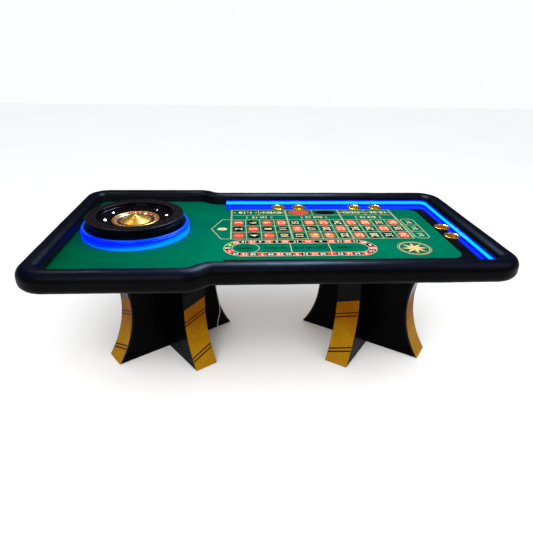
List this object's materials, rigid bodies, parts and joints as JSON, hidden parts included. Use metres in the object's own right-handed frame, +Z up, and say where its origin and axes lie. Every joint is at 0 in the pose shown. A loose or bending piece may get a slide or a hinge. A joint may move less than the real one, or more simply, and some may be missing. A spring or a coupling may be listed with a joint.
{
  "type": "roulette table",
  "caption": "Roulette table with a wide wheel end, spinning wheel on a lit drum, printed layout, padded rail, lit wall with cup holders and two cross-shaped pedestals.",
  "frame": {"origin": "on the floor under the middle of the table's length and depth", "axes": "+X along the table away from the wheel, +Y towards the long side with the lit wall, +Z up"},
  "size_m": [2.576, 1.462, 0.891],
  "materials": {
    "plywood": "sanded plywood, sealed",
    "beam_wood": "planed softwood",
    "felt": "printed teal-green layout cloth",
    "shelf_gloss": "polished black laminate",
    "core_black": "satin black paint on board",
    "vinyl": "smooth black upholstery vinyl",
    "zinc_steel": "zinc plated",
    "channel_aluminium": "black anodised extrusion",
    "led_strip": "white light strip",
    "led_cyan": "opal strip lit blue to cyan",
    "cup_gold": "spun and polished, gold coloured",
    "driver_plastic": "moulded black housing",
    "wire_pvc": "PVC insulated pair",
    "lead_grey": "grey PVC sheath",
    "lead_black": "moulded black plug",
    "drum_base": "black sheet",
    "drum_blue": "translucent blue wall, lit from inside",
    "drum_top_blue": "translucent blue top, lit at its edge",
    "bowl_lacquer": "dark lacquered hardwood",
    "deflector_chrome": "polished",
    "bearing_steel": "ground",
    "rotor_wood": "lacquered hardwood",
    "rotor_gold": "turned and polished, gold coloured",
    "number_ring": "enamelled red, black and green cells",
    "pocket_dark": "satin",
    "panel_black": "board with a black high-gloss laminate",
    "gold_veneer": "gold leaf effect under lacquer, maroon lines",
    "face_black": "black high-gloss laminate",
    "glide_rubber": "moulded pads"
  },
  "bodies": {
    "table": {"deck_board": "plywood", "layout_board": "plywood", "pedestal_top_plates": "plywood", "frame_side_beams": "beam_wood", "frame_cross_beams": "beam_wood", "layout_felt": "felt", "cup_shelf": "shelf_gloss", "rail_core_front": "core_black", "rail_pad_front": "vinyl", "rail_core_back": "core_black", "rail_pad_back": "vinyl", "rail_core_left": "core_black", "rail_pad_left": "vinyl", "rail_core_right": "core_black", "rail_pad_right": "vinyl", "rail_brackets": "zinc_steel", "rail_screws": "zinc_steel", "pedestal_bolts": "zinc_steel", "led_channel": "channel_aluminium", "led_tapes": "led_strip", "led_diffuser": "led_cyan", "cup_holder_1": "cup_gold", "cup_holder_2": "cup_gold", "cup_holder_3": "cup_gold", "cup_holder_4": "cup_gold", "cup_holder_5": "cup_gold", "cup_holder_6": "cup_gold", "led_driver": "driver_plastic", "led_feed_wires": "wire_pvc", "lead_gland": "lead_black", "power_lead": "lead_grey", "power_lead_coil": "lead_grey", "power_plug": "lead_black", "wheel_light_base": "drum_base", "wheel_light_core": "channel_aluminium", "wheel_light_wall": "drum_blue", "wheel_light_top": "drum_top_blue", "wheel_bowl": "bowl_lacquer", "ball_deflectors": "deflector_chrome", "wheel_hub_plate": "bearing_steel", "wheel_spindle": "bearing_steel", "bearing_inner_rings": "bearing_steel", "left_pedestal_frame": "core_black", "left_pedestal_panels": "panel_black", "left_pedestal_gold_faces": "gold_veneer", "left_pedestal_black_faces": "face_black", "right_pedestal_frame": "core_black", "right_pedestal_panels": "panel_black", "right_pedestal_gold_faces": "gold_veneer", "right_pedestal_black_faces": "face_black", "floor_glides": "glide_rubber"},
    "rotor": {"bearing_outer_rings": "bearing_steel", "rotor_disc": "rotor_wood", "rotor_trim_ring": "rotor_gold", "rotor_number_ring": "number_ring", "rotor_pocket_floor": "pocket_dark", "rotor_frets": "deflector_chrome", "rotor_cone": "rotor_gold", "rotor_turret": "rotor_gold"},
    "balls": {"bearing_balls": "bearing_steel"}
  },
  "joints": [
    {"name": "rotor_spin", "type": "hinge", "parent": "table", "child": "rotor", "pos_m": [-0.826, 0.032, 0.826], "axis": [0, 0, 1], "continuous": true},
    {"name": "ball_set_spin", "type": "hinge", "parent": "table", "child": "balls", "pos_m": [-0.826, 0.032, 0.831], "axis": [0, 0, 1], "continuous": true}
  ],
  "couplings": [
    {"joint": "ball_set_spin", "follows": "rotor_spin", "ratio": 0.636}
  ]
}
